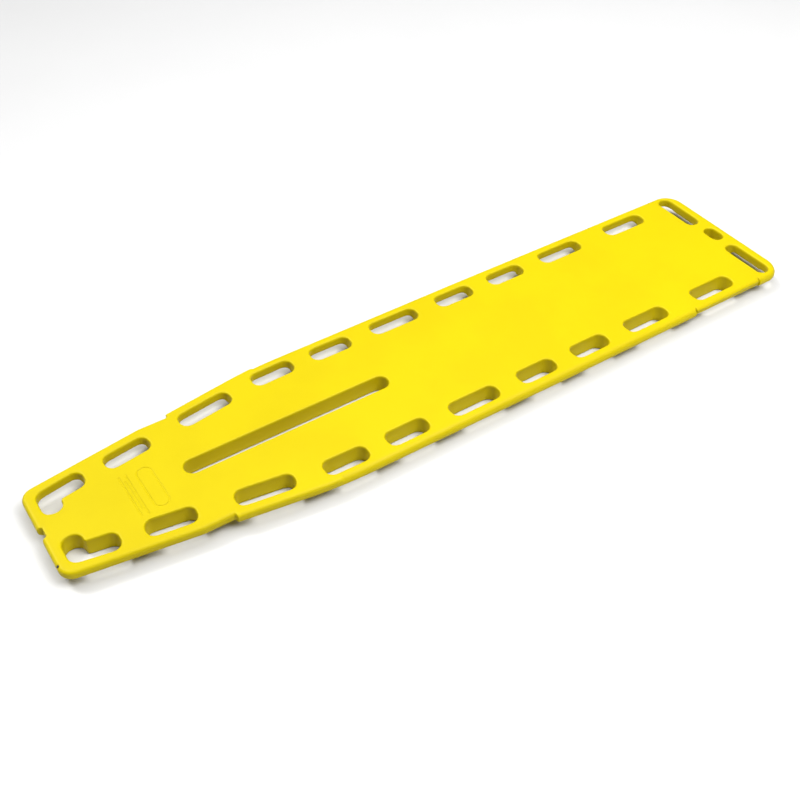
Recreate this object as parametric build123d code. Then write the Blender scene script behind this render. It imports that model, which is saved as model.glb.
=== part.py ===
from build123d import *
import os
from math import cos, hypot, radians, sin

# Long spine board: a one-piece hollow moulded shell, filled with rigid foam over two stiffener
# rods and closed with plugs. +X points to the head end, +Y to the patient's left, and +Z up.
# The origin is the centre of the underside, where the board rests. Millimetres.

# Overall form
LENGTH = 1839.0
WIDTH = 406.0
HEIGHT = 44.5
WALL = 3.5
RIM_DEPTH = 24.0
RIM_BOTTOM = HEIGHT - RIM_DEPTH

# Outline: a straight foot edge, sides that widen to the hips, then nearly parallel sides
HALF_LENGTH = LENGTH / 2
HALF_WIDTH = WIDTH / 2
FOOT_HALF_WIDTH = 118.8
HIP_X = -365.0
HIP_HALF_WIDTH = 199.0
CHEST_X = 200.0
FOOT_CORNER_R = 30.0
HEAD_CORNER_R = 50.0
HIP_R = 900.0
CHEST_R = 5000.0
LEAST_R = 8.0

# Edge rounding: tighter round the tapered foot part, and wide along the parallel sides and the head
FOOT_TOP_R = 8.0
SIDE_TOP_R = 14.0
EDGE_CHANGE_X = HIP_X
RIM_UNDER_R = 9.0
KEEL_UNDER_R = 8.0
HOLE_TOP_R = 3.5

# Keel: the full-depth middle of the board, whose flanks slope up to the thin rim
KEEL_INSET = 54.0
KEEL_RUN = 27.0
KEEL_LAP = 6.0
TONGUE_ROOT_X = 780.0
TONGUE_END_INSET = 22.0
TONGUE_RUN = 12.0
HEAD_TONGUE_HALF_WIDTH = 44.0
FOOT_TONGUE_HALF_WIDTH = 45.0

# Handholds along each side: centre X, centre Y, length, tilt towards the taper
TAPER_TILT = 8.2
HANDHOLD_WIDTH = 41.0
HANDHOLD_CORNER_R = 17.5
SHORT_GRIP = 101.0
LONG_GRIP = 125.0
HANDHOLDS = [
    (-696.5, 106.3, SHORT_GRIP, TAPER_TILT),
    (-507.3, 134.1, LONG_GRIP, TAPER_TILT),
    (-332.8, 155.2, SHORT_GRIP, 1.4),
    (-183.0, 155.6, SHORT_GRIP, 0.0),
    (-9.9, 157.2, LONG_GRIP, 0.0),
    (163.2, 157.2, SHORT_GRIP, 0.0),
    (318.4, 157.2, SHORT_GRIP, 0.0),
    (492.9, 157.2, LONG_GRIP, 0.0),
    (709.8, 157.2, LONG_GRIP, 0.0),
]

# L-shaped foot openings: corners of the +Y one, with a radius for each corner
FOOT_OPENING = [
    (-894.3, 34.3),
    (-854.0, 34.3),
    (-854.0, 62.0),
    (-795.5, 71.5),
    (-795.5, 116.0),
    (-894.3, 98.0),
]
FOOT_OPENING_RADII = [19.5, 19.5, 5.0, 18.0, 18.0, 20.0]

# Head openings, centre slot and foot notch
HEAD_SLOT_X = 872.6
HEAD_SLOT_Y = 120.6
HEAD_SLOT_LENGTH = 128.0
HEAD_SLOT_WIDTH = 36.0
HEAD_EYE_X = 879.2
HEAD_EYE_LENGTH = 52.5
HEAD_EYE_WIDTH = 34.0
CENTRE_SLOT_X = -375.0
CENTRE_SLOT_LENGTH = 487.0
CENTRE_SLOT_WIDTH = 38.5
NOTCH_WIDTH = 28.0
NOTCH_DEPTH = 10.0
NOTCH_CORNER_R = 4.0

# Recesses in the side edges: one cut parallel to the board in the taper, one low near the head
FOOT_RECESS_X = (-648.0, -585.0)
FOOT_RECESS_HALF_WIDTH = 157.5
HEAD_RECESS_X = (620.0, 834.0)
HEAD_RECESS_DEPTH = 4.0
HEAD_RECESS_TOP = HEIGHT - 8.0
RECESS_REACH = 24.0

# Shallow pans in the underside that leave ribs between them
PAN_CENTRES_X = [-480.0 + 214.0 * step for step in range(7)]
PAN_Y = 68.0
PAN_LENGTH = 180.0
PAN_WIDTH = 46.0
PAN_DEPTH = 7.0
PAN_CORNER_R = 14.0

# Moulded blank name panel between the second pair of handholds: lines across the board
PANEL_X = -690.0
PANEL_Y = -8.0
PANEL_LINE_DEPTH = 0.8
PANEL_RING = (34.0, 116.0, 3.0)
PANEL_LINES = [(34.0, 3.0, 118.0), (41.0, 3.0, 84.0), (48.0, 3.0, 118.0)]

# Foam core and stiffener rods
BOND_GAP = 0.15
CORE_GAP = 0.5
ROD_R = 8.0
ROD_Y = 57.0
ROD_Z = 24.0
ROD_END_X = (-772.0, 834.0)

# Plugs: two fill ports in the underside and one vent in the foot edge
PORT_XS = (-760.0, 560.0)
PORT_R = 9.0
PORT_HEAD_R = 13.0
PORT_HEAD_DEPTH = 2.5
PORT_RECESS = 1.0
PORT_STEM_LENGTH = 9.0
VENT_R = 2.6
VENT_Y = -90.0
VENT_LENGTH = 5.0
VENT_PROUD = 0.4
VENT_ANGLE = 45.0

CLEAR = 10.0


def outline_face(inset):
    """Plan of the board, drawn in from its edge by inset."""
    taper = (HIP_HALF_WIDTH - FOOT_HALF_WIDTH) / (HIP_X + HALF_LENGTH)
    corners = [
        (-HALF_LENGTH + inset, FOOT_HALF_WIDTH + taper * inset - inset),
        (HIP_X, HIP_HALF_WIDTH - inset),
        (CHEST_X, HALF_WIDTH - inset),
        (HALF_LENGTH - inset, HALF_WIDTH - inset),
    ]
    foot_radius = max(FOOT_CORNER_R - inset, LEAST_R)
    head_radius = max(HEAD_CORNER_R - inset, LEAST_R)
    radii = [foot_radius, HIP_R, CHEST_R, head_radius]
    corners += [(x, -y) for x, y in reversed(corners)]
    return make_face(FilletPolyline(*corners, radius=radii + radii[::-1], close=True))


def round_edges(body, height, radius):
    """Round the edges of body that lie at this height."""
    edges = [edge for edge in body.edges() if abs(edge.bounding_box().max.Z - height) < 1e-4
             and edge.bounding_box().size.Z < 1e-4]
    return fillet(edges, radius)


def plate(plan, wall, top_radius):
    """A plate as thick as the rim, with its edges rounded above and below."""
    low = RIM_BOTTOM + wall
    high = HEIGHT - wall
    body = extrude(Pos(0, 0, low) * plan, high - low)
    body = round_edges(body, high, top_radius - wall)
    return round_edges(body, low, RIM_UNDER_R - wall)


def slab(inset, wall):
    """The thin plate that carries the rim. Its top edge changes where the sides stop tapering."""
    plan = outline_face(inset + wall)
    change = Plane.YZ.offset(EDGE_CHANGE_X - wall)
    foot_part = split(plate(plan, wall, FOOT_TOP_R), bisect_by=change, keep=Keep.BOTTOM)
    head_part = split(plate(plan, wall, SIDE_TOP_R), bisect_by=change, keep=Keep.TOP)
    return foot_part + head_part


def frustum(footprint, base_inset, run, wall):
    """A full-depth block whose flanks lean out by run from the floor to the rim's underside."""
    shift = base_inset + wall * hypot(1, run / RIM_BOTTOM)
    sections = []
    for z in (wall, RIM_BOTTOM + KEEL_LAP):
        sections.append(Pos(0, 0, z) * footprint(shift - z * run / RIM_BOTTOM))
    body = loft(sections, ruled=True)
    return round_edges(body, wall, KEEL_UNDER_R - wall)


def head_tongue_face(inset):
    return tongue_face(inset, HEAD_TONGUE_HALF_WIDTH, 1)


def foot_tongue_face(inset):
    return tongue_face(inset, FOOT_TONGUE_HALF_WIDTH, -1)


def tongue_face(inset, half_width, end):
    """Plan of the full-depth tongue that runs from the keel to one end of the board."""
    tip = HALF_LENGTH - inset
    half = half_width + TONGUE_END_INSET - inset
    middle = end * (tip + TONGUE_ROOT_X) / 2
    return Pos(middle, 0) * RectangleRounded(tip - TONGUE_ROOT_X, 2 * half, LEAST_R)


def handhold_faces():
    """Plans of the straight handholds on both sides."""
    faces = []
    for x, y, length, tilt in HANDHOLDS:
        grip = RectangleRounded(length, HANDHOLD_WIDTH, HANDHOLD_CORNER_R)
        for side in (1, -1):
            faces.append(Pos(x, side * y) * Rot(0, 0, side * tilt) * grip)
    return faces


def foot_opening_face():
    return make_face(FilletPolyline(*FOOT_OPENING, radius=FOOT_OPENING_RADII, close=True))


def end_faces():
    """Plans of the openings that aren't side handholds."""
    faces = []
    head_slot = RectangleRounded(HEAD_SLOT_WIDTH, HEAD_SLOT_LENGTH, HEAD_SLOT_WIDTH / 2 - 0.5)
    for side in (1, -1):
        faces.append(Pos(HEAD_SLOT_X, side * HEAD_SLOT_Y) * head_slot)
    faces.append(foot_opening_face())
    faces.append(mirror(foot_opening_face(), Plane.XZ))
    head_eye = RectangleRounded(HEAD_EYE_WIDTH, HEAD_EYE_LENGTH, HEAD_EYE_WIDTH / 2 - 1)
    faces.append(Pos(HEAD_EYE_X, 0) * head_eye)
    faces.append(Pos(CENTRE_SLOT_X, 0) * SlotOverall(CENTRE_SLOT_LENGTH, CENTRE_SLOT_WIDTH))
    return faces


def through_cuts(wall):
    """Vertical cutters for every opening, each larger than the opening by the wall."""
    cuts = []
    for face in handhold_faces() + end_faces():
        plan = offset(face, wall) if wall else face
        cuts.append(extrude(Pos(0, 0, -CLEAR) * plan, HEIGHT + 2 * CLEAR))
    notch = RectangleRounded(2 * (NOTCH_DEPTH + wall), NOTCH_WIDTH + 2 * wall, NOTCH_CORNER_R)
    cuts.append(extrude(Pos(-HALF_LENGTH, 0, -CLEAR) * notch, HEIGHT + 2 * CLEAR))
    return cuts


def recess_cut(span, kept, top, wall):
    """Cutter for a recess in both side edges: what lies outside the plate that is kept."""
    length = span[1] - span[0] + 2 * wall
    height = top + wall + CLEAR
    block = Pos((span[0] + span[1]) / 2, 0, -CLEAR) * Box(length, WIDTH + CLEAR, height,
                                                         align=(Align.CENTER, Align.CENTER, Align.MIN))
    return block - kept - Pos(0, 0, -CLEAR) * extrude(outline_face(RECESS_REACH), HEIGHT)


def recess_cuts(wall):
    """Cutters for the recess in the taper and the low one near the head."""
    narrow = plate(Rectangle(LENGTH, 2 * (FOOT_RECESS_HALF_WIDTH - wall)), wall, FOOT_TOP_R)
    foot_recess = recess_cut(FOOT_RECESS_X, narrow, HEIGHT + CLEAR, wall)
    head_recess = recess_cut(HEAD_RECESS_X, slab(HEAD_RECESS_DEPTH, wall), HEAD_RECESS_TOP, wall)
    return [foot_recess, head_recess]


def pan_cuts(wall):
    """Cutters for the shallow pans in the underside."""
    plan = RectangleRounded(PAN_LENGTH + 2 * wall, PAN_WIDTH + 2 * wall, PAN_CORNER_R + wall)
    cuts = []
    for x in PAN_CENTRES_X:
        for side in (1, -1):
            cuts.append(Pos(x, side * PAN_Y, -CLEAR) * extrude(plan, CLEAR + PAN_DEPTH + wall))
    return cuts


def port_cuts(wall):
    """Cutters for the two fill ports in the underside."""
    cuts = []
    for x in PORT_XS:
        seat = Cylinder(PORT_HEAD_R + wall, CLEAR + PORT_RECESS + PORT_HEAD_DEPTH + wall,
                        align=(Align.CENTER, Align.CENTER, Align.MIN))
        cuts.append(Pos(x, 0, -CLEAR) * seat)
    return cuts


def board_form(wall):
    """The board's form, drawn in from its surface by wall: 0 is the outside, WALL the cavity."""
    body = slab(0, wall) + frustum(outline_face, KEEL_INSET, KEEL_RUN, wall)
    body += frustum(head_tongue_face, TONGUE_END_INSET, TONGUE_RUN, wall)
    body += frustum(foot_tongue_face, TONGUE_END_INSET, TONGUE_RUN, wall)
    for cut in recess_cuts(wall) + pan_cuts(wall) + port_cuts(wall) + through_cuts(wall):
        body -= cut
    return body


def vent_frame():
    """Where the vent plug sits: on the rounded foot edge, its axis square to the rounding."""
    slope = radians(VENT_ANGLE)
    x = -HALF_LENGTH + FOOT_TOP_R * (1 - cos(slope))
    z = HEIGHT - FOOT_TOP_R * (1 - sin(slope))
    return Pos(x, VENT_Y, z) * Rot(0, -90 + VENT_ANGLE, 0)


def name_panel_cut():
    """A blank panel of plain lines, set into the top face."""
    width, length, line = PANEL_RING
    outer = RectangleRounded(width, length, width / 2 - 1)
    plan = outer - RectangleRounded(width - 2 * line, length - 2 * line, width / 2 - line - 1)
    for offset_x, thickness, span in PANEL_LINES:
        plan += Pos(-offset_x, 0) * RectangleRounded(thickness, span, thickness / 2 - 0.2)
    return extrude(Pos(PANEL_X, PANEL_Y, HEIGHT - PANEL_LINE_DEPTH) * plan, CLEAR)


def board_shell():
    outside = round_edges_of_openings(board_form(0))
    shell = outside - board_form(WALL) - name_panel_cut()
    for x in PORT_XS:
        shell -= Pos(x, 0, 0) * Cylinder(PORT_R, 2 * CLEAR)
    return shell - vent_cut()


def round_edges_of_openings(body):
    """Round the top edge of every opening."""
    top_face = body.faces().sort_by(Axis.Z)[-1]
    edges = [edge for wire in top_face.inner_wires() for edge in wire.edges()]
    return fillet(edges, HOLE_TOP_R)


def stiffener_rod(side):
    length = ROD_END_X[1] - ROD_END_X[0]
    middle = (ROD_END_X[0] + ROD_END_X[1]) / 2
    return Pos(middle, side * ROD_Y, ROD_Z) * Rot(0, 90, 0) * Cylinder(ROD_R, length)


def rod_cavity(side):
    length = ROD_END_X[1] - ROD_END_X[0] + 2 * BOND_GAP
    middle = (ROD_END_X[0] + ROD_END_X[1]) / 2
    return Pos(middle, side * ROD_Y, ROD_Z) * Rot(0, 90, 0) * Cylinder(ROD_R + BOND_GAP, length)


def fill_plug(x):
    """A push-in plug: a thin head in its seat and a stem through the skin into the foam."""
    base = (Align.CENTER, Align.CENTER, Align.MIN)
    head = Cylinder(PORT_HEAD_R - BOND_GAP, PORT_HEAD_DEPTH - BOND_GAP, align=base)
    head = fillet(head.edges().sort_by(Axis.Z)[0], PORT_HEAD_DEPTH / 3)
    stem = Pos(0, 0, PORT_HEAD_DEPTH - BOND_GAP) * Cylinder(PORT_R - BOND_GAP, PORT_STEM_LENGTH, align=base)
    return Pos(x, 0, PORT_RECESS) * (head + stem)


def vent_cut():
    return vent_frame() * Cylinder(VENT_R, 2 * VENT_LENGTH)


def vent_plug():
    middle = VENT_PROUD - VENT_LENGTH / 2
    return vent_frame() * Pos(0, 0, middle) * Cylinder(VENT_R - BOND_GAP, VENT_LENGTH)


def foam_core():
    core = board_form(WALL + CORE_GAP)
    core -= rod_cavity(1)
    core -= rod_cavity(-1)
    stem_reach = PORT_RECESS + PORT_HEAD_DEPTH + PORT_STEM_LENGTH
    for x in PORT_XS:
        core -= Pos(x, 0, 0) * Cylinder(PORT_R + BOND_GAP, 2 * stem_reach)
    return core - vent_cut()


def write(node, solid):
    solid.label = node
    export_step(solid, os.path.join("parts", node + ".step"))


os.makedirs("parts", exist_ok=True)
write("board_shell", board_shell())
write("foam_core", foam_core())
write("stiffener_rod_left", stiffener_rod(1))
write("stiffener_rod_right", stiffener_rod(-1))
write("fill_plugs", Compound([fill_plug(x) for x in PORT_XS]))
write("vent_plug", vent_plug())
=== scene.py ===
# %% [markdown]
# # A moulded spine board, finished in Blender
#
# A spine board is one hollow yellow moulding: a person lies on it, straps go through its slots, and
# helpers lift it by the handholds along both sides. The engineering model already gives its true size,
# the rods and foam inside it, and its plugs. This lesson keeps that model as a fixed frame and gives each
# piece the surface that the real one has.

from math import cos, pi, radians, sin, tau

import bpy
import numpy as np
from mathutils import Matrix, Vector


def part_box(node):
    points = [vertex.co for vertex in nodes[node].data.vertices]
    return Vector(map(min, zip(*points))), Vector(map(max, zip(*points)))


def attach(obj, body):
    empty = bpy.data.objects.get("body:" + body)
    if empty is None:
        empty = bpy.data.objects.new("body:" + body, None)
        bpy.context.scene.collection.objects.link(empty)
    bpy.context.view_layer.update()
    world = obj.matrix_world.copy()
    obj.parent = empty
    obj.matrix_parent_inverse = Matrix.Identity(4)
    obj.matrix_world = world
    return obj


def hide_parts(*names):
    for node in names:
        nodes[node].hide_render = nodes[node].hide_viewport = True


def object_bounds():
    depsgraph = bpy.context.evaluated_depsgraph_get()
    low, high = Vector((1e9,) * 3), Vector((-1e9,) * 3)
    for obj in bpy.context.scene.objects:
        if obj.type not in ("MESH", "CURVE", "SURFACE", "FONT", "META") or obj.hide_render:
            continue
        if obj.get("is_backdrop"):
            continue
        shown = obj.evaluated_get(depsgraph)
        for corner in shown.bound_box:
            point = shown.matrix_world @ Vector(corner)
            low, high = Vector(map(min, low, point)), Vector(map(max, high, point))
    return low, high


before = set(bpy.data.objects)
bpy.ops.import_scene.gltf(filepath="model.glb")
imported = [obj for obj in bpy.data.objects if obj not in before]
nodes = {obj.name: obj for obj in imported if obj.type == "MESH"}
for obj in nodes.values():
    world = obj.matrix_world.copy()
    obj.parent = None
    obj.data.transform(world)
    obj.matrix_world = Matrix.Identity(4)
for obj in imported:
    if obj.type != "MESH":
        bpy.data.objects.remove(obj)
cad_box = [list(corner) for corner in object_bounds()]
print("nodes:", sorted(nodes))
print("size in metres:", [round(high - low, 4) for low, high in zip(*cad_box)])

# %% [markdown]
# ## Measures
#
# Blender works in metres here, while mouldings are spoken of in millimetres, so one constant turns one
# into the other. The board's own sizes are read from the frame, so the looks can't drift away from the
# design.

# %% Measures
MM = 0.001
LOW, HIGH = (Vector(corner) for corner in cad_box)
TOP = HIGH.z
print(f"the lying surface is {TOP / MM:.1f} mm above the floor")

# %% [markdown]
# ## A socket that does arithmetic
#
# Materials here are sums of noises and masks. Wiring every Math node by hand hides the idea, so one small
# class wraps an output socket and overloads the operators: `1 - mask` adds a Subtract node and gives back
# its output. Every other kind of node comes from one method, `node`.


# %% The socket class
class Wire:
    """An output socket of a shader tree. Arithmetic on it adds Math nodes."""

    def __init__(self, tree, socket=None):
        self.tree = tree
        self.socket = socket

    def node(self, kind, settings=None, sockets=None, output=0):
        """Add a node: its settings first, then its sockets' values or links. Gives one output."""
        made = self.tree.nodes.new(kind)
        for name, value in (settings or {}).items():
            setattr(made, name, value)
        for name, value in (sockets or {}).items():
            if isinstance(value, Wire):
                self.tree.links.new(value.socket, made.inputs[name])
            else:
                made.inputs[name].default_value = value
        return Wire(self.tree, made.outputs[output] if made.outputs else None)

    def maths(self, operation, *values):
        return self.node("ShaderNodeMath", {"operation": operation}, dict(enumerate(values)))

    def __add__(self, other):
        return self.maths("ADD", self, other)

    __radd__ = __add__

    def __mul__(self, other):
        return self.maths("MULTIPLY", self, other)

    __rmul__ = __mul__

    def __sub__(self, other):
        return self.maths("SUBTRACT", self, other)

    def __rsub__(self, other):
        return self.maths("SUBTRACT", other, self)

    def span(self, low, high):
        """0 where the value is low, 1 where it is high, and smooth in between."""
        settings = {"interpolation_type": "SMOOTHSTEP"}
        return self.node("ShaderNodeMapRange", settings, {"Value": self, 1: low, 2: high})

    def blend(self, first, second):
        """Colours: first where the value is 0, second where it is 1."""
        settings = {"data_type": "RGBA"}
        return self.node("ShaderNodeMix", settings, {0: self, 6: first, 7: second}, output=2)


# %% [markdown]
# ## Three helpers that every material shares
#
# A noise is placed in the object's own space, so it stays on the plastic when the board is moved. Its
# scale is written as the size of one blot in millimetres, because that is what can be measured on a real
# surface. `finish` joins the results to one Principled shader.


# %% Material helpers
def start(name):
    """A new material's tree, with its nodes cleared, as a bare wire."""
    material = bpy.data.materials.new(name)
    material.use_nodes = True
    material.node_tree.nodes.clear()
    return material, Wire(material.node_tree)


def place(wire, stretch=(1, 1, 1)):
    """Positions on the object in metres, stretched along the axes."""
    where = wire.node("ShaderNodeTexCoord", output="Object")
    return wire.node("ShaderNodeVectorMath", {"operation": "MULTIPLY"}, {0: where, 1: stretch})


def noise(where, blot, detail=2, roughness=0.5):
    """Soft random values, where one blot is about this many millimetres across."""
    sockets = {"Vector": where, "Scale": 1 / (blot * MM), "Detail": detail, "Roughness": roughness}
    return where.node("ShaderNodeTexNoise", sockets=sockets)


def finish(material, wire, height, depth, varying, steady):
    """Join the colour, roughness and bump to a Principled shader and the output."""
    bump = wire.node("ShaderNodeBump", sockets={"Height": height, "Distance": depth * MM, "Strength": 1.0})
    shader = wire.node("ShaderNodeBsdfPrincipled", sockets={**varying, **steady, "Normal": bump})
    wire.node("ShaderNodeOutputMaterial", sockets={"Surface": shader})
    print(f"{material.name}: {len(wire.tree.nodes)} nodes")
    return material


# %% [markdown]
# ## The yellow moulding's surface
#
# The real board comes out of a heated, slowly turning mould, filled with polyethylene powder. Such a
# surface has a fine orange-peel grain, wide shallow waves where the wall cooled unevenly, and a colour
# that is nearly even, a little cloudy. It is satin, not shiny. Handling rubs the edges, which turn
# slightly paler and smoother, and the lying surface carries faint scuffs along the board, where it slides
# into a vehicle.
#
# All of it is noise of different sizes: a picture of plastic would show its repeat on a board this long.
# The rubbed edges are read from a value stored on the mesh, named `rub`, which a later step measures.

# %% The moulding's material
YELLOW = (0.47, 0.375, 0.0008, 1)
YELLOW_CLOUDED = (0.45, 0.355, 0.0008, 1)
YELLOW_RUBBED = (0.50, 0.42, 0.004, 1)


def shell_plastic():
    material, wire = start("shell_plastic")
    where = place(wire)
    cloud = noise(where, 160, detail=3).span(0.35, 0.7)
    speckle = noise(where, 2.2, detail=2)
    rub = wire.node("ShaderNodeAttribute", {"attribute_name": "rub"}, output="Fac")
    along = place(wire, (0.06, 1, 1))
    scuff = noise(along, 3.0, detail=3).span(0.66, 0.74) * noise(where, 120).span(0.5, 0.62)
    colour = cloud.blend(YELLOW, YELLOW_CLOUDED)
    colour = (rub * (0.35 + 0.4 * speckle)).blend(colour, YELLOW_RUBBED)
    roughness = 0.40 + 0.10 * noise(where, 35) + 0.05 * speckle + 0.10 * scuff - 0.06 * rub
    grain = noise(where, 1.4, detail=3, roughness=0.55)
    wave = noise(where, 90, detail=1)
    height = 0.10 * grain + 1.6 * wave - 0.05 * scuff
    varying = {"Base Color": colour, "Roughness": roughness}
    return finish(material, wire, height, 0.35, varying, {"IOR": 1.5, "Specular IOR Level": 0.1})


YELLOW_PLASTIC = shell_plastic()

# %% [markdown]
# ## Plugs, foam and rods
#
# The plugs are pushed in after the moulding is foamed: plain dark rubbery plastic with a fine matt grain.
# The foam and the rods can't be seen until the board is cut open, but a model of its pieces should still
# show what they are: pale foam with closed round cells, whose pits carry painted shade, and rods whose
# glass strands run along them.


# %% Materials of the smaller pieces
def plug_plastic():
    material, wire = start("plug_plastic")
    where = place(wire)
    dust = noise(where, 6, detail=3).span(0.45, 0.75)
    grain = noise(where, 0.5, detail=2)
    colour = dust.blend((0.018, 0.018, 0.017, 1), (0.05, 0.048, 0.04, 1))
    roughness = 0.48 + 0.18 * grain + 0.1 * dust
    return finish(material, wire, grain, 0.12, {"Base Color": colour, "Roughness": roughness}, {"IOR": 1.5})


def core_foam():
    material, wire = start("core_foam")
    where = place(wire)
    cells = where.node("ShaderNodeTexVoronoi", sockets={"Vector": where, "Scale": 1 / (1.6 * MM)})
    pit_depth_and_painted_shade = cells.span(0.1, 0.6)
    tone = noise(where, 40, detail=3)
    # The foam's colour darkens in the cell pits, where the bump sinks them: painted shade. The tone noise
    # varies at random.
    colour = (0.6 * pit_depth_and_painted_shade + 0.4 * tone).blend((0.62, 0.50, 0.27, 1), (0.86, 0.78, 0.56, 1))
    return finish(material, wire, pit_depth_and_painted_shade, 0.5, {"Base Color": colour, "Roughness": 0.82 + 0.12 * tone}, {})


def glass_fibre():
    material, wire = start("glass_fibre_rod")
    strands = noise(place(wire, (0.01, 1, 1)), 0.6, detail=3)
    tone = noise(place(wire, (0.1, 1, 1)), 12)
    colour = strands.span(0.35, 0.7).blend((0.42, 0.46, 0.33, 1), (0.72, 0.73, 0.60, 1))
    roughness = 0.32 + 0.25 * strands + 0.08 * tone
    varying = {"Base Color": colour, "Roughness": roughness}
    return finish(material, wire, strands, 0.15, varying, {"IOR": 1.52})


PLUG_PLASTIC = plug_plastic()
CORE_FOAM = core_foam()
GLASS_FIBRE = glass_fibre()

# %% [markdown]
# ## The moulded shell
#
# The design's solid has sharp lines round its openings underneath, because a designer leaves small radii
# to the mould maker. Plastic can't fill a sharp corner, so on the real board every edge is soft.
# Bevelling the design's many edges one by one would break somewhere, so the piece is treated as the clay
# that it resembles: a voxel remesh lays an even skin over it, a few smoothing passes soften every edge by
# the same few millimetres, and then the flat areas are thinned out again.
#
# The foam is joined in before the remesh. It fills the hollow, so that the new skin follows the outside
# only.

# %% Mesh helpers
VOXEL = 2.0 * MM
MOST_TRIANGLES = 150_000


def link(name, mesh):
    piece = bpy.data.objects.new(name, mesh)
    bpy.context.scene.collection.objects.link(piece)
    return piece


def joined_copy(name, sources):
    """One new piece that holds the faces of several nodes."""
    points, faces, first = [], [], 0
    for source in sources:
        mesh = source.data
        points += [tuple(vertex.co) for vertex in mesh.vertices]
        faces += [[first + index for index in face.vertices] for face in mesh.polygons]
        first += len(mesh.vertices)
    mesh = bpy.data.meshes.new(name)
    mesh.from_pydata(points, [], faces)
    return link(name, mesh)


def modified(piece, kind, **settings):
    """Apply one modifier to the piece's mesh."""
    modifier = piece.modifiers.new(kind.lower(), kind)
    for name, value in settings.items():
        setattr(modifier, name, value)
    bpy.context.view_layer.update()
    result = bpy.data.meshes.new_from_object(piece.evaluated_get(bpy.context.evaluated_depsgraph_get()))
    piece.modifiers.clear()
    old = piece.data
    piece.data = result
    bpy.data.meshes.remove(old)
    return piece


def points_of(mesh):
    flat = np.empty(3 * len(mesh.vertices), np.float32)
    mesh.vertices.foreach_get("co", flat)
    return flat.reshape(-1, 3)


def move_points(mesh, points):
    mesh.vertices.foreach_set("co", points.astype(np.float32).ravel())
    mesh.update()


# %% Lay the skin and soften it
ALL_EDGES_PASSES = 5

shell = joined_copy("moulded_shell", [nodes["board_shell"], nodes["foam_core"]])
modified(shell, "REMESH", mode="VOXEL", voxel_size=VOXEL, use_smooth_shade=True)
print(f"skin: {len(shell.data.vertices)} points")
modified(shell, "SMOOTH", factor=0.5, iterations=ALL_EDGES_PASSES)

# %% [markdown]
# ## Rounder grips
#
# Gloved hands close round the bars between the openings and the board's edge, so the mould maker rounds
# those bars all the way, far more than the lying surface's other edges. The underside's edges are as
# full, because the plastic has to flow into them. A vertex group picks both places, and only they get
# more smoothing.
#
# Where a point lies from the edge is measured on the skin itself: the widest point at each station along
# the board gives the outline.


# %% Round the grips and the underside
GRIP_PASSES = 22
GRIP_FROM = 12 * MM
GRIP_TO = 33 * MM
UNDER_REACH = 15 * MM
STATION = 10 * MM


def inset_of(points):
    """How far each point lies from the edge of the board, seen from above."""
    station = ((points[:, 0] - LOW.x) / STATION).astype(int)
    widest = np.zeros(station.max() + 1)
    np.maximum.at(widest, station, np.abs(points[:, 1]))
    side = widest[station] - np.abs(points[:, 1])
    end = np.minimum(points[:, 0] - LOW.x, HIGH.x - points[:, 0])
    return np.minimum(side, end)


def soften(piece, chosen, passes):
    """Smooth only the chosen points."""
    group = piece.vertex_groups.new(name="soft")
    group.add([int(index) for index in np.flatnonzero(chosen)], 1.0, "REPLACE")
    modified(piece, "SMOOTH", factor=0.5, iterations=passes, vertex_group="soft")
    piece.vertex_groups.clear()


points = points_of(shell.data)
inset = inset_of(points)
round_part = (points[:, 2] < UNDER_REACH) | ((inset > GRIP_FROM) & (inset < GRIP_TO))
soften(shell, round_part, GRIP_PASSES)
print(f"rounder: {round_part.mean():.0%} of the points")

# %% [markdown]
# ## The name panel
#
# Between the second pair of handholds the mould carries a maker's panel. Here it stays blank: a long
# rounded ring with three plain bars beside it, where lettering would be. The skin's own mesh is too
# coarse for lines 3 mm wide, so the faces round the panel are divided first, and then each point sinks by
# a depth that is worked out from its distance to the nearest line. The lines fade out over less than a
# millimetre, as moulded ones do.

# %% Press the name panel
import bmesh

PANEL_CENTRE = Vector((-690.0, -8.0)) * MM
PANEL_REACH = Vector((64.0, 70.0)) * MM
PANEL_DEPTH = 1.3 * MM
PANEL_ROOM = 4 * MM
TOP_SKIN = 2 * MM
RING_WIDTH = 34.0 * MM
RING_LENGTH = 116.0 * MM
LINE_WIDTH = 3.0 * MM
LINE_EDGE = 0.7 * MM
LINES = ((-34.0 * MM, 118.0 * MM), (-41.0 * MM, 84.0 * MM), (-48.0 * MM, 118.0 * MM))
CUTS = 2


def smooth(share):
    """Ease from 0 to 1, flat at both ends."""
    share = np.clip(share, 0, 1)
    return share * share * (3 - 2 * share)


def bar_distance(x, y, centre_x, width, length):
    """Distance from a bar with round ends that lies across the board. Negative inside it."""
    reach = length / 2 - width / 2
    return np.hypot(x - centre_x, np.maximum(np.abs(y) - reach, 0)) - width / 2


def panel_depth(x, y):
    """How far the panel sinks the surface at each point, measured from the panel's centre."""
    outer = bar_distance(x, y, 0.0, RING_WIDTH, RING_LENGTH)
    distance = np.abs(outer + LINE_WIDTH / 2) - LINE_WIDTH / 2
    for centre_x, length in LINES:
        distance = np.minimum(distance, bar_distance(x, y, centre_x, LINE_WIDTH, length))
    return PANEL_DEPTH * smooth(0.5 - distance / LINE_EDGE)


def near_panel(points, extra):
    """Which points lie on the top face, around the panel."""
    inside = np.abs(points[:, :2] - np.array(PANEL_CENTRE)) < np.array(PANEL_REACH) + extra
    return inside.all(1) & (points[:, 2] > TOP - TOP_SKIN)


def divide_faces(mesh, chosen):
    """Divide the faces whose points are all chosen."""
    work = bmesh.new()
    work.from_mesh(mesh)
    work.verts.ensure_lookup_table()
    edges = [edge for edge in work.edges if chosen[edge.verts[0].index] and chosen[edge.verts[1].index]]
    bmesh.ops.subdivide_edges(work, edges=edges, cuts=CUTS, use_grid_fill=True)
    work.to_mesh(mesh)
    work.free()


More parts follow.
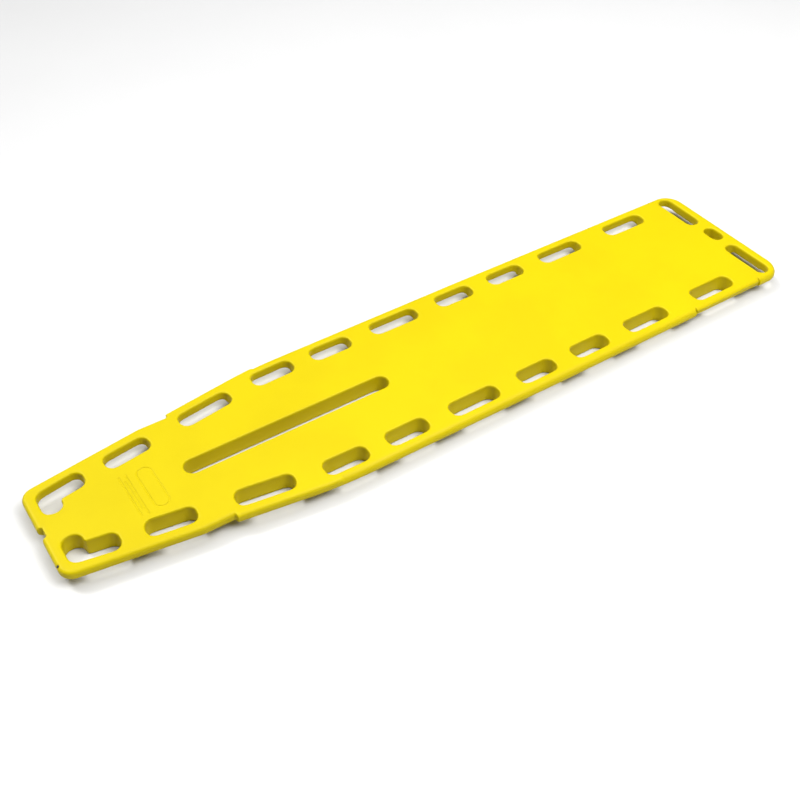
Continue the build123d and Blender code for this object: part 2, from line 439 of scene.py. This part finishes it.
def press_panel(mesh):
    divide_faces(mesh, near_panel(points_of(mesh), 0))
    points = points_of(mesh)
    chosen = near_panel(points, PANEL_ROOM)
    x, y = (points[chosen, :2] - np.array(PANEL_CENTRE)).T
    points[chosen, 2] = TOP - panel_depth(x, y)
    move_points(mesh, points)
    return chosen


on_panel = press_panel(shell.data)
print(f"panel: {on_panel.sum()} points")

# %% [markdown]
# ## Notches in the side edges
#
# Near the head each side edge has a low recess, which makes room for the fingers when the board lies
# flat. A short upright notch in the rounded edge marks each end of it. Like the panel, a notch is
# narrower than the skin's faces, so the faces there are divided and their points are pushed inwards.


# %% Press the edge notches
NOTCHES_X = (620 * MM, 834 * MM)
NOTCH_HALF_WIDTH = 1.9 * MM
NOTCH_DEPTH = 7 * MM
NOTCH_REACH = 16 * MM
NOTCH_ROOM = 5 * MM
NOTCH_MARGIN = 3 * MM


def from_notch(points):
    """How far along the board each point lies from the nearest notch."""
    return np.min([np.abs(points[:, 0] - x) for x in NOTCHES_X], axis=0)


def near_notch(points, extra):
    """Which points lie on the side edges, beside a notch."""
    beside = from_notch(points) < NOTCH_ROOM + extra
    return beside & (np.abs(points[:, 1]) > HIGH.y - NOTCH_REACH - extra)


def press_notches(mesh):
    divide_faces(mesh, near_notch(points_of(mesh), 0))
    points = points_of(mesh)
    across = from_notch(points)
    share = np.clip(1.5 - across / NOTCH_HALF_WIDTH, 0, 1)
    edge_share = np.clip((np.abs(points[:, 1]) - HIGH.y + NOTCH_REACH) / NOTCH_REACH, 0, 1)
    points[:, 1] -= np.sign(points[:, 1]) * NOTCH_DEPTH * share * edge_share
    move_points(mesh, points)
    return near_notch(points, NOTCH_MARGIN)


at_notch = press_notches(shell.data)
print(f"notches: {at_notch.sum()} points")

# %% [markdown]
# ## Where hands rub the edges
#
# Wear follows shape: what stands out is touched first. The even skin makes that easy to measure. A point
# on an outward edge lies above the average of its neighbours, and the height difference is largest where
# the edge is tightest. It is smoothed a little and stored on the mesh as `rub`, which the material reads.


# %% Measure the rubbed edges
RUB_STARTS = 0.02
RUB_SPAN = 0.08
RUB_PASSES = 3


def neighbour_mean(values, ends, count):
    """The average of each point's neighbours."""
    total = np.zeros_like(values)
    for here, there in ((0, 1), (1, 0)):
        for axis in range(values.shape[1]):
            total[:, axis] += np.bincount(ends[:, here], values[ends[:, there], axis], len(values))
    return total / count[:, None]


def store_rub(mesh):
    ends = np.empty(2 * len(mesh.edges), np.int32)
    mesh.edges.foreach_get("vertices", ends)
    ends = ends.reshape(-1, 2)
    points = points_of(mesh).astype(float)
    count = np.maximum(np.bincount(ends.ravel(), minlength=len(points)), 1)
    normals = np.empty(3 * len(points), np.float32)
    mesh.vertices.foreach_get("normal", normals)
    lift = points - neighbour_mean(points, ends, count)
    height = (lift * normals.reshape(-1, 3)).sum(1)[:, None]
    for _ in range(RUB_PASSES):
        height = (height + neighbour_mean(height, ends, count)) / 2
    rub = np.clip((height[:, 0] / VOXEL - RUB_STARTS) / RUB_SPAN, 0, 1)
    mesh.attributes.new("rub", "FLOAT", "POINT").data.foreach_set("value", rub.astype(np.float32))
    return rub


rub = store_rub(shell.data)
print(f"rubbed: {(rub > 0.5).mean():.1%} of the points")

# %% [markdown]
# ## Thin out the flat areas
#
# The skin has far more points than its flat faces need. Decimate folds edges together where that changes
# the shape least, so the rounded edges keep their points and the flats lose theirs. The panel and the
# edge notches are protected by a vertex group. Normals weighted by face area then keep the large flats
# from picking up smudges next to the small faces of an edge.


# %% Thin the skin and finish the shell
def thin(piece, protected):
    group = piece.vertex_groups.new(name="free")
    group.add([int(index) for index in np.flatnonzero(~protected)], 1.0, "REPLACE")
    triangles = sum(len(face.vertices) - 2 for face in piece.data.polygons)
    share = min(1.0, MOST_TRIANGLES / triangles)
    modified(piece, "DECIMATE", ratio=share, vertex_group="free", use_collapse_triangulate=True)
    piece.vertex_groups.clear()
    modified(piece, "WEIGHTED_NORMAL", keep_sharp=False, weight=60)
    print(f"{piece.name}: {triangles} triangles thinned to {len(piece.data.polygons)}")


thin(shell, near_panel(points_of(shell.data), PANEL_ROOM) | at_notch)
shell.data.polygons.foreach_set("use_smooth", [True] * len(shell.data.polygons))
shell.data.materials.append(YELLOW_PLASTIC)
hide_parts("board_shell")
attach(shell, "root")

# %% [markdown]
# ## The fill plugs
#
# Foam is poured through two ports in the underside, and a plug is then pushed into each. A real one is a
# turned shape: a thin head with a rounded rim, a shallow ring near the edge, a slot for a coin, and a
# stem with two barbs that hold in the foam. A profile swept round an axis gives all of it but the slot,
# which is pressed in afterwards.


# %% Turned pieces
def turned(name, profile, steps=96):
    """Sweep a profile of (radius, height) points round the Z axis into a closed piece."""
    angles = [tau * step / steps for step in range(steps)]
    points = [(r * cos(a), r * sin(a), z) for r, z in profile[1:-1] for a in angles]
    first, last = len(points), len(points) + 1
    points += [(0, 0, profile[0][1]), (0, 0, profile[-1][1])]
    faces = []
    rings = len(profile) - 2
    for ring in range(rings - 1):
        for step in range(steps):
            near, far = ring * steps, (ring + 1) * steps
            after = (step + 1) % steps
            faces.append((near + step, near + after, far + after, far + step))
    for step in range(steps):
        after = (step + 1) % steps
        faces.append((first, after, step))
        faces.append((last, (rings - 1) * steps + step, (rings - 1) * steps + after))
    mesh = bpy.data.meshes.new(name)
    mesh.from_pydata(points, [], faces)
    mesh.polygons.foreach_set("use_smooth", [True] * len(mesh.polygons))
    mesh.update()
    return mesh


def arc(centre_r, centre_z, radius, start_angle, end_angle, steps=6):
    """Points of an arc in the profile, angles in degrees from the +radius direction."""
    angles = [radians(start_angle + (end_angle - start_angle) * step / steps) for step in range(steps + 1)]
    return [(centre_r + radius * cos(a), centre_z + radius * sin(a)) for a in angles]


# %% Make the fill plugs
PLUG_LOW, PLUG_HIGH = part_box("fill_plugs")
PLUG_RADIUS = (PLUG_HIGH.y - PLUG_LOW.y) / 2
PLUG_HEAD = 2.35 * MM
PLUG_STEM_RADIUS = 8.85 * MM
PLUG_RIM = 0.8 * MM
SLOT_HALF_WIDTH = 1.1 * MM
SLOT_HALF_LENGTH = 8.0 * MM
SLOT_DEPTH = 0.9 * MM
SLOT_EDGE = 0.5 * MM
FACE_SKIN = 0.3 * MM
BARBS_AT = (4.0 * MM, 7.0 * MM)
BARB_HEIGHT = 0.4 * MM
BARB_DEPTH = 0.7 * MM
TIP_TAPER = 1.2 * MM
GROOVE_RADIUS = 0.45 * MM


def plug_profile():
    """From the middle of the visible face, out round the head, and up the barbed stem."""
    face = [(r * PLUG_RADIUS, 0.0) for r in np.linspace(0, 0.68, 24)]
    groove = arc(0.74 * PLUG_RADIUS, 0.0, GROOVE_RADIUS, 180, 0, 8)
    rim = arc(PLUG_RADIUS - PLUG_RIM, PLUG_RIM, PLUG_RIM, -90, 0)
    barbs = [(PLUG_STEM_RADIUS, PLUG_HEAD)]
    for base in BARBS_AT:
        barbs += [(PLUG_STEM_RADIUS - BARB_DEPTH, base), (PLUG_STEM_RADIUS, base + BARB_HEIGHT)]
    end = PLUG_HIGH.z - PLUG_LOW.z
    tip = [(PLUG_STEM_RADIUS - TIP_TAPER, end), (0.0, end)]
    return face + groove + rim + [(PLUG_RADIUS, PLUG_HEAD)] + barbs + tip


def press_slot(mesh):
    points = points_of(mesh)
    beyond = np.maximum(np.abs(points[:, 0]) - SLOT_HALF_LENGTH, np.abs(points[:, 1]) - SLOT_HALF_WIDTH)
    on_face = points[:, 2] < FACE_SKIN
    points[:, 2] += SLOT_DEPTH * smooth(0.5 - beyond / SLOT_EDGE) * on_face
    move_points(mesh, points)


def fill_plug(name, centre_x, turn):
    piece = link(name, turned(name, plug_profile(), steps=128))
    press_slot(piece.data)
    seat = Matrix.Translation((centre_x, 0, PLUG_LOW.z))
    piece.data.transform(seat @ Matrix.Rotation(radians(turn), 4, "Z"))
    piece.data.materials.append(PLUG_PLASTIC)
    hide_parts("fill_plugs")
    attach(piece, "root")
    return piece


fill_plug("fill_plug_foot", PLUG_LOW.x + PLUG_RADIUS, 20)
fill_plug("fill_plug_head", PLUG_HIGH.x - PLUG_RADIUS, -35)
print(f"fill plugs: {2 * PLUG_RADIUS / MM:.1f} mm across")

# %% [markdown]
# ## The vent plug
#
# A mould needs a vent, or the hot air in it would blow the wall open. The hole it leaves, in the rounded
# foot edge, is closed by a plug no larger than a shirt button: a low dome over a stem. It is turned like
# the fill plugs, then tilted to stand square on the rounding. Its place comes from the design's own plug;
# its tilt is a fixed 45 degrees, outwards over the foot end.


# %% Make the vent plug
VENT_LOW, VENT_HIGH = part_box("vent_plug")
VENT_MIDDLE = (VENT_LOW + VENT_HIGH) / 2
VENT_STEM_RADIUS = (VENT_HIGH.y - VENT_LOW.y) / 2
VENT_LENGTH = 5.0 * MM
FLANGE = 0.45 * MM
FLANGE_EDGE = 0.15 * MM
STEM_TAPER = 0.5 * MM
TAPER_FROM = 4.4 * MM
VENT_PROUD = 0.4 * MM
DOME_RADIUS = VENT_STEM_RADIUS + FLANGE
DOME_HEIGHT = 0.55 * MM


def vent_profile():
    """From the stem's end, along it, out under the dome and over it."""
    dome = [(DOME_RADIUS * cos(a), DOME_HEIGHT * sin(a)) for a in np.linspace(0, pi / 2, 9)[:-1]]
    end = [(0, -VENT_LENGTH), (VENT_STEM_RADIUS - STEM_TAPER, -VENT_LENGTH)]
    stem = [(VENT_STEM_RADIUS, -TAPER_FROM), (VENT_STEM_RADIUS, -FLANGE_EDGE)]
    return end + stem + [(DOME_RADIUS, -FLANGE_EDGE)] + dome + [(0, DOME_HEIGHT)]


def vent_plug():
    piece = link("vent_plug_domed", turned("vent_plug_domed", vent_profile(), steps=64))
    outward = Vector((-1, 0, 1)).normalized()
    seat = VENT_MIDDLE + outward * (VENT_LENGTH / 2 - VENT_PROUD)
    turn = outward.to_track_quat("Z", "Y").to_matrix().to_4x4()
    piece.data.transform(Matrix.Translation(seat) @ turn)
    piece.data.materials.append(PLUG_PLASTIC)
    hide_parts("vent_plug")
    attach(piece, "root")


vent_plug()
print(f"vent plug: {2 * DOME_RADIUS / MM:.1f} mm across")

# %% [markdown]
# ## The pieces inside
#
# The foam core and the two rods have the right shape already, so they stay as they are and only take
# their material.


# %% Finish the foam and the rods
def give(node, material):
    node.data.materials.clear()
    node.data.materials.append(material)


give(nodes["foam_core"], CORE_FOAM)
for side in ("left", "right"):
    give(nodes["stiffener_rod_" + side], GLASS_FIBRE)
print("inside: foam core and two rods")

# %% [markdown]
# ## Floor and light
#
# The board lies on a plain white floor under a soft key light, high behind it and to the left. The key is
# a sun lamp with a wide disc, so that the shadow is even along nearly two metres of board and still has a
# soft edge. A large softbox overhead fills the top. A second one, in front, reaches under the grips, so
# that the floor seen through the openings stays pale, and a dim surround does the rest.

# %% Floor
FLOOR_HALF = 9.0


def floor_paint():
    material, wire = start("floor_paint")
    where = place(wire)
    tone = noise(where, 400, detail=3)
    grain = noise(where, 3, detail=2)
    colour = tone.blend((0.55, 0.55, 0.55, 1), (0.57, 0.57, 0.57, 1))
    varying = {"Base Color": colour, "Roughness": 0.72 + 0.1 * grain}
    return finish(material, wire, grain, 0.05, varying, {"Specular IOR Level": 0.2})


def floor():
    mesh = bpy.data.meshes.new("floor")
    reach = np.linspace(-FLOOR_HALF, FLOOR_HALF, 7)
    count = len(reach)
    points = [(x, y, 0.0) for y in reach for x in reach]
    faces = []
    for row in range(count - 1):
        for column in range(count - 1):
            corner = row * count + column
            faces.append((corner, corner + 1, corner + count + 1, corner + count))
    mesh.from_pydata(points, [], faces)
    piece = link("floor", mesh)
    mesh.materials.append(floor_paint())
    piece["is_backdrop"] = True


floor()

# %% Lights
KEY_HEADING = radians(-26.6)
KEY_HEIGHT = radians(49.0)
KEY_DISC = radians(18.0)
KEY_STRENGTH = 2.3
SOFTBOX_SIZE = 5.0
SOFTBOX_HEIGHT = 4.0
SOFTBOX_POWER = 205.0
FRONT_PLACE = (0.9, -1.7, 3.2)
FRONT_SIZE = 2.0
FRONT_POWER = 130.0
SURROUND = 0.1


def lamp(name, kind, location, aim, **settings):
    """A lamp at location that points at aim."""
    data = bpy.data.lights.new(name, kind)
    for setting, value in settings.items():
        setattr(data, setting, value)
    piece = bpy.data.objects.new(name, data)
    bpy.context.scene.collection.objects.link(piece)
    piece.location = location
    piece.rotation_euler = (Vector(aim) - Vector(location)).to_track_quat("-Z", "Y").to_euler()
    return piece


def surround(strength):
    world = bpy.data.worlds.new("surround")
    bpy.context.scene.world = world
    world.use_nodes = True
    world.node_tree.nodes["Background"].inputs["Color"].default_value = (1, 1, 1, 1)
    world.node_tree.nodes["Background"].inputs["Strength"].default_value = strength


key_from = Vector((sin(KEY_HEADING), cos(KEY_HEADING), 0)) * cos(KEY_HEIGHT)
key_from.z = sin(KEY_HEIGHT)
lamp("key", "SUN", 5 * key_from, (0, 0, 0), energy=KEY_STRENGTH, angle=KEY_DISC)
lamp("softbox", "AREA", (0, 0, SOFTBOX_HEIGHT), (0, 0, 0), energy=SOFTBOX_POWER, size=SOFTBOX_SIZE)
lamp("front", "AREA", FRONT_PLACE, (0, 0, 0), energy=FRONT_POWER, size=FRONT_SIZE)
surround(SURROUND)
print("key from", key_from.to_tuple(2))

# %% [markdown]
# ## Camera
#
# The board is seen from above its right side, with the foot end nearest. A standard colour view, without
# film-like compression, keeps the yellow as strong as the plastic is and the floor white.

# %% Camera
VIEW_HEADING = radians(34.5255)
VIEW_HEIGHT = radians(44.3795)
VIEW_ROLL = radians(1.0858)
VIEW_DISTANCE = 2.2719
VIEW_AIM = Vector((-132.28, -52.26, 22.76)) * MM
LENS = 46.854


def camera():
    data = bpy.data.cameras.new("camera")
    data.lens = LENS
    data.sensor_width = 36
    piece = bpy.data.objects.new("camera", data)
    bpy.context.scene.collection.objects.link(piece)
    level = Vector((cos(VIEW_HEADING), -sin(VIEW_HEADING), 0))
    ahead = Vector((sin(VIEW_HEADING), cos(VIEW_HEADING), 0)) * cos(VIEW_HEIGHT)
    ahead.z = -sin(VIEW_HEIGHT)
    above = level.cross(ahead)
    right = level * cos(VIEW_ROLL) + above * sin(VIEW_ROLL)
    up = above * cos(VIEW_ROLL) - level * sin(VIEW_ROLL)
    turn = Matrix((right, up, -ahead)).transposed().to_4x4()
    piece.matrix_world = Matrix.Translation(VIEW_AIM - VIEW_DISTANCE * ahead) @ turn
    bpy.context.scene.camera = piece
    bpy.context.scene.view_settings.view_transform = "Standard"
    print("camera at", piece.matrix_world.translation.to_tuple(3))


camera()

# %% [markdown]
# ## Print the size and finish
#
# The looks are meant to leave the board's size as it is. Both boxes, the design's and the finished
# model's, are printed side by side.

visual_box = [list(corner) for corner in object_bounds()]
for name, box in (("design", cad_box), ("finished", visual_box)):
    print(name, [round((high - low) / MM, 2) for low, high in zip(*box)])
